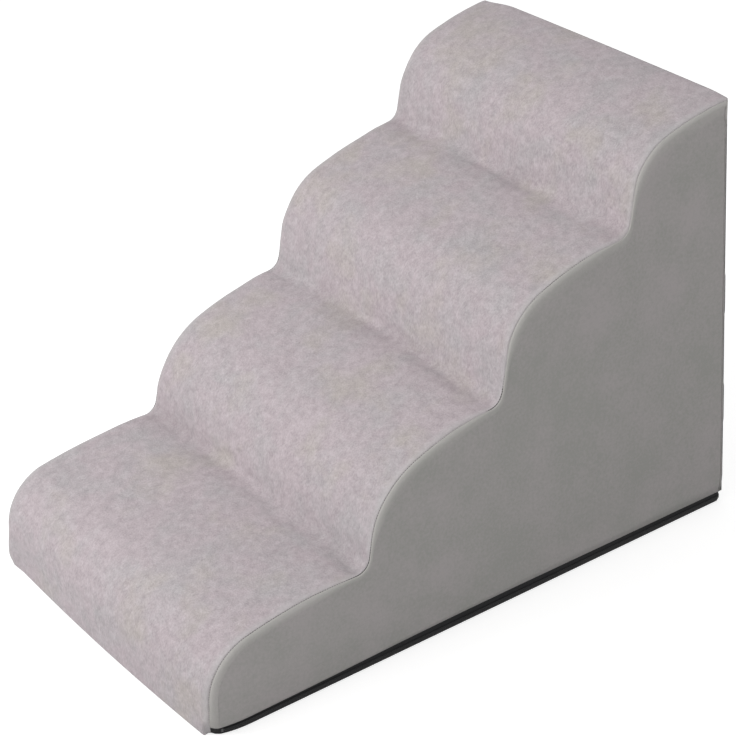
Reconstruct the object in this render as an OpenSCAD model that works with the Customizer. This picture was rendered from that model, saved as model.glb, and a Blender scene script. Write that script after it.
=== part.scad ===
// Foam pet stairs: four rounded steps of foam in a zipped, removable cover.
// The front foot is at -Y, the back panel at +Y, the floor at z = 0, the middle of the base at the origin.

/* [Overall size] */
// Width across the treads
stair_w = 486; // [400:2:560]
// Length from the front foot to the back panel
stair_l = 804; // [740:4:860]
// Height of the top landing
stair_h = 572; // [530:2:610]

/* [Steps] */
// Radius of each step's nose, from the lowest step to the highest
nose_radii = [80, 125, 100, 90]; // [60:5:140]
// Radius of the inside curve where a riser meets the tread below it
valley_r = 14; // [8:1:24]
// Slope of the upper risers, measured from the floor
riser_angle = 78; // [72:1:82]

/* [Soft edges] */
// Radius of the stuffed edge between a tread and a side
edge_r = 11; // [10:1:16]
// Rise of the middle of a tread over its two ends
tread_crown = 4.5; // [0:0.5:9]
// Bulge of the middle of the front face over its two ends
front_crown = 5; // [0:1:12]
// Bulge of the middle of the back panel over its two ends
back_crown = 1.5; // [0:0.5:4]
// Distance that the foot of the back panel is drawn in by the zip
back_tuck = 6; // [0:1:8]

/* [Cover] */
// Thickness of the plush with its pile
plush_t = 4; // [3:0.5:6]
// Thickness of the plush where it runs into the seam
plush_seam_t = 1.2; // [0.8:0.2:2]
// Thickness of the woven side and back fabric
panel_t = 1.4; // [0.8:0.2:2]
// Thickness of the base cloth
base_t = 0.8; // [0.6:0.1:1.5]

/* [Foam] */
// Thickness of the soft foam that follows the steps
comfort_t = 25; // [15:1:35]

/* [Grip dots] */
// Radius of a grip dot
dot_r = 6; // [4:0.5:9]
// Height of a grip dot
dot_h = 1; // [0.6:0.1:2]
// Spacing of the grip dots
dot_pitch = 76; // [60:2:90]
// Bare border of the base cloth around the dots
dot_margin = 40; // [30:2:60]

/* [Zip] */
// Thickness of the zip's woven tape
tape_t = 0.7; // [0.5:0.1:1]
// Width of the upper tape, most of it behind the side fabric
tape_w = 14; // [10:1:16]
// Width of one row of the coil
coil_w = 2.4; // [1.8:0.2:3]
// Thickness of the coil
coil_t = 2.2; // [1.6:0.2:2.6]
// Length of the slider body
slider_l = 12; // [10:1:15]
// Width of the slider body across the zip
slider_w = 8; // [7.6:0.2:9]
// Length of the pull tab from its pin to its tip
pull_l = 26; // [20:1:32]
// Width of the pull tab
pull_w = 6.4; // [6:0.2:7.4]

/* [Hidden] */
$fn = 32;

// Clearances
fit_gap = 0.3;
glue_gap = 0.2;
seam_gap = 0.4;
coil_gap = 0.2;
cut_over = 1;

// Steps: each valley's place along the length and the height, with the front foot first and the top edge last
valley_run_shares = [0, 0.288, 0.544, 0.797, 1];
valley_rise_shares = [0, 0.248, 0.502, 0.771, 1];
front_angle = 89;
front_blend_angle = 12;
front_tread_angle = -3;
blend_angle = 22;
tread_angle = 3;
top_tread_angle = 2.5;
top_step = len(nose_radii) - 1;
nose_steps = 7;
tread_steps = 3;
valley_steps = 3;
edge_steps = 3;

// Soft edges: the edge radius as a share of edge_r at the front foot, in a valley and along the back, and the
// share of its way that a nose's edge has filled out by where the riser ends
front_edge_share = 1.2;
valley_edge_share = 0.45;
back_edge_share = 0.8;
nose_fill_share = 0.25;
top_crown_share = 0.2;
seam_angle = 25;
zip_angle = 28;
corner_angles = [90, 67.5, 45, 22.5, 0];
crown_stations = [-1, -0.6, 0, 0.6, 1];
mid_station = crown_stations[3];
tuck_h = 40;
back_shoulder = 30;
back_drops_share = [1, 0.62, 0.34];
half_w = stair_w / 2;

// Heights of the layers at the foot
base_z = dot_h;
base_top = base_z + base_t;
foam_z = base_top + fit_gap;
tape_show = 1.5;
zip_z = base_top + fit_gap + tape_show + coil_w + coil_gap / 2;
hem_z = zip_z + slider_w / 2 + fit_gap;

// Depths below the outer face of the side, through the zip and into the foam
coil_proud = 0.5;
tape_depth = coil_t - coil_proud + coil_gap;
plate_t = 1;
plate_depth = tape_depth + tape_t + fit_gap;
zip_room = plate_depth + plate_t + seam_gap;
zip_room_h = 24;
corner_reach = edge_r * front_edge_share + zip_room;
base_inset = 0.8;
side_room = panel_t + fit_gap;
back_room = back_crown + side_room;
core_chamfer = edge_r;
comfort_depth = plush_t + fit_gap;
comfort_back = back_crown + zip_room - seam_gap;
comfort_under = comfort_depth + comfort_t;
core_depth = comfort_under + glue_gap;

// Slider, stops and pull tab, along the zip's left run
post_l = 3;
post_w = 2.2;
post_back = 1.6;
slot_w = post_w + 2 * fit_gap;
flange_t = 1;
slider_bevel = 1.2;
slider_waist_share = 0.88;
stop_l = 3;
stop_w = 2.8;
stop_leaf_t = 0.8;
stop_room = stop_l + 2 * fit_gap;
bow_w = 2.2;
bow_t = 1;
bow_gap = 1.6;
bow_span = 4.4;
pin_r = 0.55;
pull_t = 1;
eye_clear = 0.8;

// Smooth steps between two values
function mix(a, b, t) = a + (b - a) * t;
function ease(t) = (1 - cos(180 * min(max(t, 0), 1))) / 2;
function reverse(list) = [for (i = [len(list) - 1:-1:0]) list[i]];
function det2(a, b) = a[0] * b[1] - a[1] * b[0];

// One point of the side outline: its place, its outward normal, its edge share and its crown
function outline_point(place, normal, edge_share, crown) = [place, normal, edge_share, crown];
function normal_at(slope) = [-sin(slope), cos(slope)];
function heading(slope) = [cos(slope), sin(slope)];
function arc_move(r, from, to) = r * [sin(from) - sin(to), cos(to) - cos(from)];

// The valleys, and the slopes that each step starts, blends and ends at
function valley(k) = [stair_l * valley_run_shares[k], stair_h * valley_rise_shares[k]];
function riser_slope(k) = k == 0 ? front_angle : riser_angle;
function blend_slope(k) = k == 0 ? front_blend_angle : blend_angle;
function end_slope(k) = k == 0 ? front_tread_angle : k == top_step ? top_tread_angle : tread_angle;

// The straight riser and the tread's radius that make a step reach its next valley
function step_rest(k) = valley(k + 1) - valley(k) - arc_move(nose_radii[k], riser_slope(k), blend_slope(k));
function riser_len(k) =
    let (tread = arc_move(1, blend_slope(k), end_slope(k)), up = heading(riser_slope(k)))
    det2(step_rest(k), tread) / det2(up, tread);
function tread_r(k) =
    let (tread = arc_move(1, blend_slope(k), end_slope(k)), up = heading(riser_slope(k)))
    det2(up, step_rest(k)) / det2(up, tread);
function crown_at(k, t) =
    k == 0 ? mix(front_crown, tread_crown, ease(t))
    : k == top_step ? tread_crown * mix(1, top_crown_share, ease(t))
    : tread_crown;

// The nose arc of step k, from its riser to its tread
function nose_points(k) =
    let (start = valley(k) + riser_len(k) * heading(riser_slope(k)))
    [for (j = [0:nose_steps])
        let (t = j / nose_steps, slope = mix(riser_slope(k), blend_slope(k), t))
        outline_point(
            start + arc_move(nose_radii[k], riser_slope(k), slope),
            normal_at(slope),
            k == 0
                ? mix(front_edge_share, 1, ease(t))
                : mix(valley_edge_share, 1, ease(nose_fill_share + 2 * t)),
            crown_at(k, k == 0 ? t : 0)
        )];

// The tread arc of step k, which stops where the valley's curve starts
function valley_tangent(k) = valley_r * tan((riser_slope(k + 1) - end_slope(k)) / 2);
function tread_points(k) =
    let (
        start = valley(k) + riser_len(k) * heading(riser_slope(k))
            + arc_move(nose_radii[k], riser_slope(k), blend_slope(k)),
        r = tread_r(k),
        trim = k == top_step ? 0 : valley_tangent(k) / r * 180 / PI,
        last = k == top_step ? tread_steps - 1 : tread_steps
    )
    [for (j = [1:last])
        let (t = j / tread_steps, slope = mix(blend_slope(k), end_slope(k) + trim, t))
        outline_point(
            start + arc_move(r, blend_slope(k), slope),
            normal_at(slope),
            mix(1, k == top_step ? back_edge_share : valley_edge_share, ease(k == top_step ? t : 2 * t - 1)),
            crown_at(k, k == 0 ? 1 : t)
        )];

// The inside curve at the top of step k's tread
function valley_points(k) =
    let (
        slope_in = end_slope(k),
        slope_out = riser_slope(k + 1),
        start = valley(k + 1) - valley_tangent(k) * heading(slope_in),
        centre = start + valley_r * normal_at(slope_in)
    )
    [for (j = [1:valley_steps])
        let (slope = mix(slope_in, slope_out, j / valley_steps), normal = normal_at(slope))
        outline_point(centre - valley_r * normal, normal, valley_edge_share, tread_crown)];

// The outline's upper run, from the front foot to just before the top edge
function front_foot(foot_z) =
    outline_point(foot_z / tan(front_angle) * [1, 0] + [0, foot_z], [-1, 0], front_edge_share, front_crown);
function upper_points(foot_z) = concat(
    [front_foot(foot_z)],
    [for (k = [0:top_step])
        each concat(nose_points(k), tread_points(k), k < top_step ? valley_points(k) : [])]
);

// The landing close to the back, and the top edge, mitred between the landing and the back panel
function landing_point(inset) = [stair_l - inset, stair_h - inset * tan(top_tread_angle)];
top_mitre = [1, (1 + sin(top_tread_angle)) / cos(top_tread_angle)];
function top_edge(drop) =
    outline_point([stair_l, stair_h - drop], top_mitre, back_edge_share, tread_crown * top_crown_share);

// The back, which the zip draws in towards its foot
function back_y(z) = stair_l - back_tuck * pow(max(0, 1 - z / tuck_h), 2);
function back_point(z) = outline_point([back_y(z), z], [1, 0], back_edge_share, back_crown);
function back_points(foot_z) = concat(
    [back_point(stair_h - back_shoulder)],
    [for (share = back_drops_share) back_point(tuck_h * share)],
    [back_point(foot_z)]
);

// A point of a surface of the stairs: station runs from -1 to 1 between the rounded edges, turn goes from 0
// on the crown to 90 on the side, and the surface lies depth_side under the side, depth_top under the crown.
function skin(point, station, turn, depth_side, depth_top) =
    let (
        r = edge_r * point[2],
        drop = point[3] * station * station + r - max(r - depth_top, 0) * cos(turn),
        place = point[0] - drop * point[1]
    )
    [
        station * (half_w - r) + sign(station) * max(r - depth_side, 0) * sin(turn),
        place[0] - stair_l / 2,
        place[1]
    ];

// Stations of a sheet that stops at the seam, and the plush's thickness at each
seam_stations = concat(
    [for (turn = [seam_angle, seam_angle / 2]) [-1, turn]],
    [for (s = crown_stations) [s, 0]],
    [for (turn = [seam_angle / 2, seam_angle]) [1, turn]]
);
function plush_at(turn) = mix(plush_t, plush_seam_t, turn / seam_angle);

// Faces of a sheet between an outer and an inner grid of points, except those along its last row
function quad(a, b, c, d) = [[a, b, c], [a, c, d]];
function grid_faces(rows, cols) =
    let (at = function(r, c) r * cols + c, under = function(r, c) (rows + r) * cols + c)
    concat(
        [for (r = [0:rows - 2], c = [0:cols - 2])
            each quad(at(r, c), at(r, c + 1), at(r + 1, c + 1), at(r + 1, c))],
        [for (r = [0:rows - 2], c = [0:cols - 2])
            each quad(under(r, c), under(r + 1, c), under(r + 1, c + 1), under(r, c + 1))],
        [for (c = [0:cols - 2]) each quad(at(0, c), under(0, c), under(0, c + 1), at(0, c + 1))],
        [for (r = [0:rows - 2]) each quad(at(r, 0), at(r + 1, 0), under(r + 1, 0), under(r, 0))],
        [for (r = [0:rows - 2])
            each quad(at(r, cols - 1), under(r, cols - 1), under(r + 1, cols - 1), at(r + 1, cols - 1))]
    );
function flat_list(grid) = [for (row = grid) each row];

// A closed sheet between two grids of points with the same rows and columns
module sheet(outer, inner) {
    rows = len(outer);
    cols = len(outer[0]);
    last = (rows - 1) * cols;
    below = rows * cols;
    polyhedron(
        concat(flat_list(outer), flat_list(inner)),
        concat(
            grid_faces(rows, cols),
            [for (c = [last:last + cols - 2]) each quad(c, c + 1, below + c + 1, below + c)]
        )
    );
}

// A closed skin that turns over an edge and then runs flat down to its foot. Upright strips fill the flat
// face: each of its first columns ends on the foot, and the columns down the back fan out from the last one.
module side_sheet(outer, inner, upper_cols, foot_z) {
    rows = len(outer);
    cols = len(outer[0]);
    rim = (rows - 1) * cols;
    below = rows * cols;
    foot = 2 * below;
    feet = upper_cols - 1;
    function foot_points(grid) =
        [for (c = [1:feet]) let (p = grid[rows - 1][c]) [p[0], p[1], foot_z]];
    outer_foot = [for (c = [1:feet]) foot + c - 1];
    inner_foot = [for (c = [1:feet]) foot + feet + c - 1];
    outer_line = concat([rim], outer_foot, [rim + cols - 1]);
    inner_line = concat([below + rim], inner_foot, [below + rim + cols - 1]);
    polyhedron(
        concat(flat_list(outer), flat_list(inner), foot_points(outer), foot_points(inner)),
        concat(
            grid_faces(rows, cols),
            [[rim, rim + 1, outer_line[1]], [below + rim + 1, below + rim, inner_line[1]]],
            [for (c = [1:feet - 1]) each quad(rim + c, rim + c + 1, outer_line[c + 1], outer_line[c])],
            [for (c = [1:feet - 1])
                each quad(below + rim + c + 1, below + rim + c, inner_line[c], inner_line[c + 1])],
            [for (c = [feet:cols - 2]) [rim + c, rim + c + 1, outer_line[feet]]],
            [for (c = [feet:cols - 2]) [below + rim + c + 1, below + rim + c, inner_line[feet]]],
            [for (c = [0:feet])
                each quad(outer_line[c], outer_line[c + 1], inner_line[c + 1], inner_line[c])]
        )
    );
}

// Plan of the cover at the foot: from the right front seam round the back to the left front seam
function foot_run(depth) =
    let (
        front = front_foot(zip_z),
        back = back_point(zip_z),
        right = concat(
            [for (turn = [zip_angle, (zip_angle + 90) / 2, 90]) skin(front, 1, turn, depth, depth)],
            [for (turn = corner_angles) skin(back, 1, turn, depth, depth)]
        )
    )
    concat(
        [for (p = right) [p[0], p[1]]],
        [for (s = [mid_station, 0]) let (p = skin(back, s, 0, depth, depth)) [p[0], p[1]]],
        [for (p = reverse(concat(right, [skin(back, mid_station, 0, depth, depth)]))) [-p[0], p[1]]]
    );

// An upright band of the zip, which follows the foot round three sides
module foot_band(depth_out, depth_in, z_low, z_high) {
    translate([0, 0, z_low])
        linear_extrude(z_high - z_low)
            polygon(concat(foot_run(depth_out), reverse(foot_run(depth_in))));
}

// Where the straight side runs start, and where the slider rests
side_start = skin(front_foot(zip_z), 1, 90, 0, 0)[1];
slider_y = side_start + stop_room + slider_l / 2;
post_y = slider_y - post_back - post_l;

// Moves a piece drawn at the side face, with +X outwards, to the left or right run of the zip
module at_left_run(y) translate([-half_w, y, zip_z]) mirror([1, 0, 0]) children();
module at_right_run(y) translate([half_w, y, zip_z]) children();
// Extrudes a flat shape outwards: its x becomes Y, its y becomes Z
module outwards(from, thick) translate([from, 0, 0]) rotate([90, 0, 90]) linear_extrude(thick) children();
module block(low, high) translate(low) cube(high - low);

// Block of firm foam, cut to the steps, with room for the zip along its foot
module foam_core() {
    profile = concat(
        [for (p = upper_points(foam_z)) p[0] - core_depth * p[1]],
        [for (inset = [comfort_back, back_room]) landing_point(inset) - [0, core_depth]],
        [[stair_l - back_room, tuck_h]],
        [for (z = [zip_room_h, foam_z]) [stair_l - back_tuck - zip_room, z]]
    );
    core_w = stair_w - 2 * side_room;
    rebate = zip_room - side_room;
    color("#ece3c4") difference() {
        translate([-core_w / 2, -stair_l / 2, 0])
            rotate([90, 0, 90])
                linear_extrude(core_w) polygon(profile);
        for (side = [-1, 1]) {
            translate([side * (core_w / 2 - rebate / 2), 0, zip_room_h / 2])
                cube([rebate, stair_l, zip_room_h], center = true);
            translate([side * core_w / 2, stair_l / 2 - back_room, stair_h / 2])
                rotate([0, 0, 45])
                    cube([core_chamfer * sqrt(2), core_chamfer * sqrt(2), stair_h + cut_over], center = true);
        }
    }
}

// Softer foam, glued over the core, which follows the front face and every step
module comfort_foam() {
    top_crown = tread_crown * top_crown_share;
    last = outline_point(landing_point(comfort_back), [0, 1], back_edge_share, top_crown);
    points = concat(upper_points(foam_z), [last]);
    stations = [[-1, 90], [-1, seam_angle], [-1, 0], [0, 0], [1, 0], [1, seam_angle], [1, 90]];
    outer = [for (s = stations) [for (p = points) skin(p, s[0], s[1], zip_room, comfort_depth)]];
    inner = [for (row = outer) [for (c = [0:len(points) - 1])
        let (p = points[c], place = p[0] - comfort_under * p[1])
        [row[c][0], place[0] - stair_l / 2, place[1]]]];
    color("#f4efe2") sheet(outer, inner);
}

// Plush that runs in one piece from the front foot over every step to the top edge
module tread_cover() {
    points = concat(upper_points(base_z), [top_edge(0)]);
    color("#b9b0b4") sheet(
        [for (s = seam_stations) [for (p = points) skin(p, s[0], s[1], 0, 0)]],
        [for (s = seam_stations) [for (p = points) skin(p, s[0], s[1], plush_at(s[1]), plush_at(s[1]))]]
    );
}

// Woven side, which turns over the stuffed edge to the seam and round the back corner
module side_panel() {
    upper = upper_points(hem_z);
    points = concat(upper, [top_edge(0)], back_points(hem_z));
    start = seam_angle + asin(seam_gap / edge_r);
    turns = [for (step = [0:edge_steps]) mix(start, 90, step / edge_steps)];
    color("#8a8786") side_sheet(
        [for (turn = turns) [for (p = points) skin(p, 1, turn, 0, 0)]],
        [for (turn = turns) [for (p = points) skin(p, 1, turn, panel_t, panel_t)]],
        len(upper), hem_z
    );
}
module side_panel_right() side_panel();
module side_panel_left() mirror([1, 0, 0]) side_panel();

// Woven back, from the top edge down to the zip
module back_panel() {
    points = reverse(concat([top_edge(seam_gap)], back_points(hem_z)));
    turned = [for (s = seam_stations) [-s[0], s[1]]];
    color("#858281") sheet(
        [for (s = turned) [for (p = points) skin(p, s[0], s[1], 0, 0)]],
        [for (s = turned) [for (p = points) skin(p, s[0], s[1], panel_t, panel_t)]]
    );
}

// Black base cloth, sewn to the plush in front and to the lower tape on the other three sides
module base_panel() {
    front = front_foot(zip_z);
    front_run = [for (s = seam_stations) skin(front, s[0], s[1], comfort_depth, comfort_depth)];
    color("#1d1d1f")
        translate([0, 0, base_z])
            linear_extrude(base_t)
                polygon(concat([for (p = front_run) [p[0], p[1]]], foot_run(base_inset)));
}

// Grip dots moulded on the base cloth, on an even grid
module grip_dots() {
    across = floor((stair_w - 2 * dot_margin) / dot_pitch);
    along = floor((stair_l - 2 * dot_margin) / dot_pitch);
    color("#2b2b2d")
        for (i = [0:across], j = [0:along])
            translate([(i - across / 2) * dot_pitch, (j - along / 2) * dot_pitch, 0])
                cylinder(r = dot_r, h = dot_h);
}

// The zip's front ends, between two heights: the slider's post is at the left, the wide stop at the right
module front_ends(z_low, z_high) {
    block(
        [-half_w - cut_over, -stair_l / 2, z_low],
        [-half_w + corner_reach, slider_y - post_back + fit_gap, z_high]
    );
    block(
        [half_w - corner_reach, -stair_l / 2, z_low],
        [half_w + cut_over, side_start + stop_room, z_high]
    );
}
module parting() front_ends(zip_z - slot_w / 2, zip_z + slot_w / 2);
module coil_ends() front_ends(0, hem_z);

// Tape sewn behind the foot of the side and back panels
module zip_tape_upper() color("#17171a") difference() {
    foot_band(tape_depth, tape_depth + tape_t, zip_z + coil_gap / 2, zip_z + tape_w);
    parting();
}
// Tape sewn along the edge of the base cloth
module zip_tape_lower() color("#17171a") difference() {
    foot_band(tape_depth, tape_depth + tape_t, foam_z, zip_z - coil_gap / 2);
    parting();
}
// The two rows of the coil, closed against each other
module zip_coil_upper() color("#101012") difference() {
    foot_band(-coil_proud, coil_t - coil_proud, zip_z + coil_gap / 2, zip_z + coil_gap / 2 + coil_w);
    coil_ends();
}
module zip_coil_lower() color("#101012") difference() {
    foot_band(-coil_proud, coil_t - coil_proud, zip_z - coil_gap / 2 - coil_w, zip_z - coil_gap / 2);
    coil_ends();
}

// One stop, crimped round a tape's inner edge: an outer leaf, an inner leaf and the bend between them
module crimped_stop(width) {
    leaf_out = -tape_depth + fit_gap;
    leaf_in = -tape_depth - tape_t - fit_gap;
    web = slot_w / 2 - fit_gap;
    block([leaf_out, -stop_l / 2, -web / 2], [leaf_out + stop_leaf_t, stop_l / 2, width]);
    block([leaf_in - stop_leaf_t, -stop_l / 2, -web / 2], [leaf_in, stop_l / 2, width]);
    block([leaf_in - stop_leaf_t, -stop_l / 2, -web / 2], [leaf_out + stop_leaf_t, stop_l / 2, web / 2]);
}
// Two stops that hold the slider at the closed end, one on each tape
module zip_top_stops() {
    shift = slot_w / 4;
    color("#0e0e10") at_left_run(slider_y - slider_l / 2 - fit_gap - stop_l / 2) {
        translate([0, 0, shift]) crimped_stop(stop_w);
        mirror([0, 0, 1]) translate([0, 0, shift]) crimped_stop(stop_w);
    }
}
// One wide stop that joins both tapes at the other end
module zip_bottom_stop() {
    color("#0e0e10") at_right_run(side_start + stop_room / 2) {
        crimped_stop(stop_w);
        mirror([0, 0, 1]) crimped_stop(stop_w);
    }
}

// Slider body: two plates joined by a post, flanges that guide the coil, and a bow for the pull tab
module slider_outline() {
    half_l = slider_l / 2;
    half = slider_w / 2;
    rear = half * slider_waist_share;
    upper = [
        [half_l, rear - slider_bevel], [half_l - slider_bevel, rear],
        [-half_l + slider_bevel, half], [-half_l, half - slider_bevel]
    ];
    polygon(concat(upper, reverse([for (p = upper) [p[0], -p[1]]])));
}
module zip_slider() {
    plate_out = coil_proud + fit_gap;
    flange_low = -tape_depth + fit_gap;
    flange_y = slider_l / 2 - 2 * slider_bevel;
    flange_top = slider_w / 2 * slider_waist_share;
    bow_top = plate_out + plate_t + bow_gap + bow_t;
    color("#151517") at_left_run(slider_y) {
        outwards(plate_out, plate_t) slider_outline();
        outwards(-plate_depth - plate_t, plate_t) slider_outline();
        for (side = [-1, 1])
            scale([1, 1, side])
                block([flange_low, -flange_y, flange_top - flange_t], [plate_out, flange_y, flange_top]);
        outwards(-plate_depth, plate_depth + plate_out)
            polygon([
                [-post_back - post_l, 0], [-post_back - post_l / 2, post_w / 2],
                [-post_back, 0], [-post_back - post_l / 2, -post_w / 2]
            ]);
        for (side = [-1, 1])
            scale([1, side, 1])
                block(
                    [plate_out + plate_t, bow_span / 2, -bow_w / 2],
                    [bow_top, bow_span / 2 + bow_t, bow_w / 2]
                );
        block([bow_top - bow_t, -bow_span / 2, -bow_w / 2], [bow_top, bow_span / 2, bow_w / 2]);
    }
}

// Pull tab: a pin that turns under the bow, and a flat tab round the bow that lies along the closed zip
pin_out = coil_proud + fit_gap + plate_t + bow_gap / 2;
module pull_tab() {
    eye_end = bow_span / 2 + bow_t + eye_clear;
    eye_half = bow_w / 2 + fit_gap;
    tip_r = pull_w / 2;
    color("#19191b") at_left_run(slider_y) translate([pin_out, 0, 0]) {
        cylinder(r = pin_r, h = pull_w, center = true);
        outwards(-pull_t / 2, pull_t)
            difference() {
                union() {
                    translate([0, -tip_r]) square([pull_l - tip_r, pull_w]);
                    translate([pull_l - tip_r, 0]) circle(r = tip_r);
                }
                translate([-cut_over, -eye_half]) square([eye_end + cut_over, 2 * eye_half]);
            }
    }
}

foam_core();
comfort_foam();
tread_cover();
side_panel_left();
side_panel_right();
back_panel();
base_panel();
grip_dots();
zip_tape_upper();
zip_tape_lower();
zip_coil_upper();
zip_coil_lower();
zip_top_stops();
zip_bottom_stop();
zip_slider();
pull_tab();
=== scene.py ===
import math

import bmesh
import bpy
import numpy as np
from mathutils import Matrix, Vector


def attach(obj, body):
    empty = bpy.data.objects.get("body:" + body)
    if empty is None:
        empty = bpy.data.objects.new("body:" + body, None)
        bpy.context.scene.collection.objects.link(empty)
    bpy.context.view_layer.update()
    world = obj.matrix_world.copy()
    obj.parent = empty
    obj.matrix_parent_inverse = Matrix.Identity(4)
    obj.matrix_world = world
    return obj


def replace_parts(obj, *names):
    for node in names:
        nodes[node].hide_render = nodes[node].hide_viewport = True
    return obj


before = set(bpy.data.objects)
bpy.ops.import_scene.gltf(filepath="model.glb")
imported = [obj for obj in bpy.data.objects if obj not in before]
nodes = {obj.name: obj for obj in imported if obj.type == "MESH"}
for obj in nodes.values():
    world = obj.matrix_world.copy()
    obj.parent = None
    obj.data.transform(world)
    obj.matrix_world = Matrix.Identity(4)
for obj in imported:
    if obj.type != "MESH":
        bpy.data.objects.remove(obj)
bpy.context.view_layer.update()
mm = 0.001
scene = bpy.context.scene


# Studio: the stairs stand on a plain pale floor and are seen from their front right, from above. A long
# lens keeps the edges nearly parallel. Large soft lamps light the steps from the front, so that the sides
# get less light, and the floor and the backdrop are white.
picture = 736
lens_axis = (407, 325)
camera_data = bpy.data.cameras.new("camera")
camera_data.sensor_width = 36
camera_data.lens = 116.05
camera_data.shift_x = (picture / 2 - lens_axis[0]) / picture
camera_data.shift_y = (lens_axis[1] - picture / 2) / picture
camera_data.clip_end = 50
camera = bpy.data.objects.new("camera", camera_data)
camera.location = (2.18103, -1.43286, 1.70301)
camera.rotation_euler = [math.radians(a) for a in (61.7161, 2.9181, 53.7294)]
scene.collection.objects.link(camera)
scene.camera = camera
scene.view_settings.view_transform = "Standard"


def soft_lamp(name, place, target, size, watts):
    data = bpy.data.lights.new(name, "AREA")
    data.shape = "DISK"
    data.size = size
    data.energy = watts
    lamp = bpy.data.objects.new(name, data)
    lamp.location = place
    toward = [t - p for t, p in zip(target, place)]
    lamp.rotation_euler = Vector(toward).to_track_quat("-Z", "Y").to_euler()
    scene.collection.objects.link(lamp)


soft_lamp("front_lamp", (-1.1, -2.4, 1.75), (0, 0, 0.25), 1.7, 58)
soft_lamp("side_lamp", (3.0, -0.6, 1.4), (0, 0, 0.3), 1.6, 27)
soft_lamp("top_lamp", (0.2, 0.4, 3.4), (0, 0, 0.3), 2.4, 10)


def set_inputs(tree, node, *feeds, **values):
    """Sets a node's inputs, in order and by name, each to a value, a node's first output or a socket."""
    named = [(name.replace("_", " "), value) for name, value in values.items()]
    for key, value in [*enumerate(feeds), *named]:
        if isinstance(value, bpy.types.Node):
            value = value.outputs[0]
        if isinstance(value, bpy.types.NodeSocket):
            tree.links.new(value, node.inputs[key])
        else:
            node.inputs[key].default_value = value
    return node


def add_node(tree, kind, *feeds, **values):
    """A node with its inputs set. The names of its other settings start with an underscore."""
    node = tree.nodes.new("ShaderNode" + kind)
    for name in [name for name in values if name.startswith("_")]:
        setattr(node, name[1:], values.pop(name))
    return set_inputs(tree, node, *feeds, **values)


def math_node(tree, operation, *feeds):
    return add_node(tree, "Math", *feeds, _operation=operation)


def two_tones(tree, share, first, second, reach=(0, 1)):
    """A ramp between two colours, which are reached where the share has the two values of reach."""
    ramp = add_node(tree, "ValToRGB", share)
    for element, tone, place in zip(ramp.color_ramp.elements, (first, second), reach):
        element.color, element.position = tone, place
    return ramp


def white_for_camera(tree, strength):
    """How strongly a surface shows plain white to the camera and in reflections."""
    path = add_node(tree, "LightPath").outputs
    seen = math_node(tree, "MAXIMUM", path["Is Camera Ray"], path["Is Glossy Ray"])
    shown = math_node(tree, "MAXIMUM", seen, path["Is Transmission Ray"])
    return math_node(tree, "MULTIPLY", shown, strength)


white, room_light, floor_light = (1, 1, 1, 1), 0.46, 0.66
world = bpy.data.worlds.new("studio")
world.use_nodes = True
scene.world = world
sky = world.node_tree
sky.nodes.clear()
sky_light = add_node(sky, "Background", Color=white, Strength=room_light)
sky_white = add_node(sky, "Background", Color=white, Strength=1)
add_node(sky, "OutputWorld", add_node(sky, "MixShader", white_for_camera(sky, 1), sky_light, sky_white))

floor_r, floor_sides = 14.0, 64
floor_turns = np.arange(floor_sides) * 2 * math.pi / floor_sides
floor_mesh = bpy.data.meshes.new("floor")
floor_mesh.from_pydata(
    [(floor_r * math.cos(a), floor_r * math.sin(a), 0) for a in floor_turns], [], [tuple(range(floor_sides))])
floor = bpy.data.objects.new("floor", floor_mesh)
scene.collection.objects.link(floor)
floor_material = bpy.data.materials.new("floor")
floor_material.use_nodes = True
tree = floor_material.node_tree
tree.nodes.clear()
floor_grain = add_node(tree, "TexNoise", Scale=40.0, Detail=3.0)
floor_tint = two_tones(tree, floor_grain, (0.6, 0.6, 0.6, 1), (0.64, 0.64, 0.64, 1))
floor_paint = add_node(tree, "BsdfDiffuse", floor_tint)
floor_glow = add_node(tree, "Emission", Color=white, Strength=white_for_camera(tree, floor_light))
add_node(tree, "OutputMaterial", add_node(tree, "AddShader", floor_paint, floor_glow))
floor_mesh.materials.append(floor_material)


# Foam core: the block of firm, open-cell foam that carries the animal, cut to the steps with a hot wire.
# It stands loose in the cover, with its back corners trimmed and a rebate along its foot for the zip.
stair_w, stair_l, stair_h = 486 * mm, 804 * mm, 572 * mm
half_w = stair_w / 2
bend_cuts, foot_cuts = np.arange(-360, 361, 40) * mm, np.arange(12, 61, 12) * mm

# How the cover settles. Spans are heights, shares of the length from the middle, or shares of the half width.
above_zip, drawn_h, drawn_l, proud_l = (0, 60 * mm), (0, 32 * mm), 60 * mm, 22 * mm
proud_foot, proud_rise, proud_top = 0.4, (0, 18 * mm), (12 * mm, 60 * mm)
rear_span, rear_top_span, spread_span = (0.36, 0.5), (0.36, 0.48), (0.3, 0.5)
right_rim, left_rim, right_slack, left_slack = (0.92, 0.97), (0.86, 0.96), (0.85, 1), (0.7, 1)
top_span, right_drop, left_drop = (500 * mm, 560 * mm), 2 * mm, 7 * mm
lean, spread, tilt, tilt_fall = 11.5 * mm, 1.8 * mm, 1.13 * mm, 0.9 * mm
drawn_in, drawn_back, proud_out, proud_fore = 12 * mm, 8 * mm, 9 * mm, 5.5 * mm


def ease(t):
    t = np.clip(t, 0, 1)
    return (1 - np.cos(np.pi * t)) / 2


def rise(value, span):
    """Goes softly from 0 at the span's start to 1 at its end."""
    return ease((value - span[0]) / (span[1] - span[0]))


def fade(distance, reach):
    """Falls evenly from 1 at a place to 0 at the reach from it."""
    return np.clip(1 - distance / reach, 0, 1)


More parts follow.
